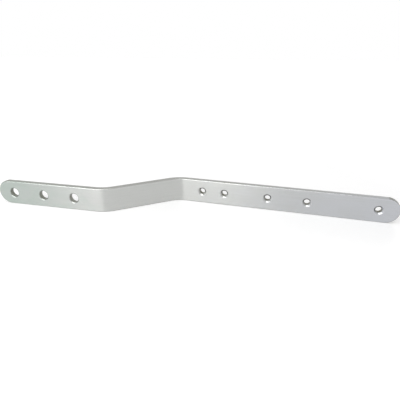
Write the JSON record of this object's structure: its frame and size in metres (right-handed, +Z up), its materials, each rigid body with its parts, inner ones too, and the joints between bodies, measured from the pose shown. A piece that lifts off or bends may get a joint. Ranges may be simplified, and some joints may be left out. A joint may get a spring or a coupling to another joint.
{
  "type": "z bracket",
  "caption": "Flat steel bar bent twice into an offset Z, with round tips, countersunk screw holes along the long arm and larger bolt holes along the short arm.",
  "frame": {"origin": "under the middle of the bracket, on the surface that its lower long edge stands on", "axes": "+X along the long arm towards its tip, +Y from the countersunk front face to the back face of the long arm, +Z up the width of the bar"},
  "size_m": [0.4022, 0.0646, 0.025],
  "materials": {
    "zinc_plate": "satin bright zinc plate with a faint lengthwise grain"
  },
  "bodies": {
    "root": {"bracket": "zinc_plate"}
  },
  "joints": []
}
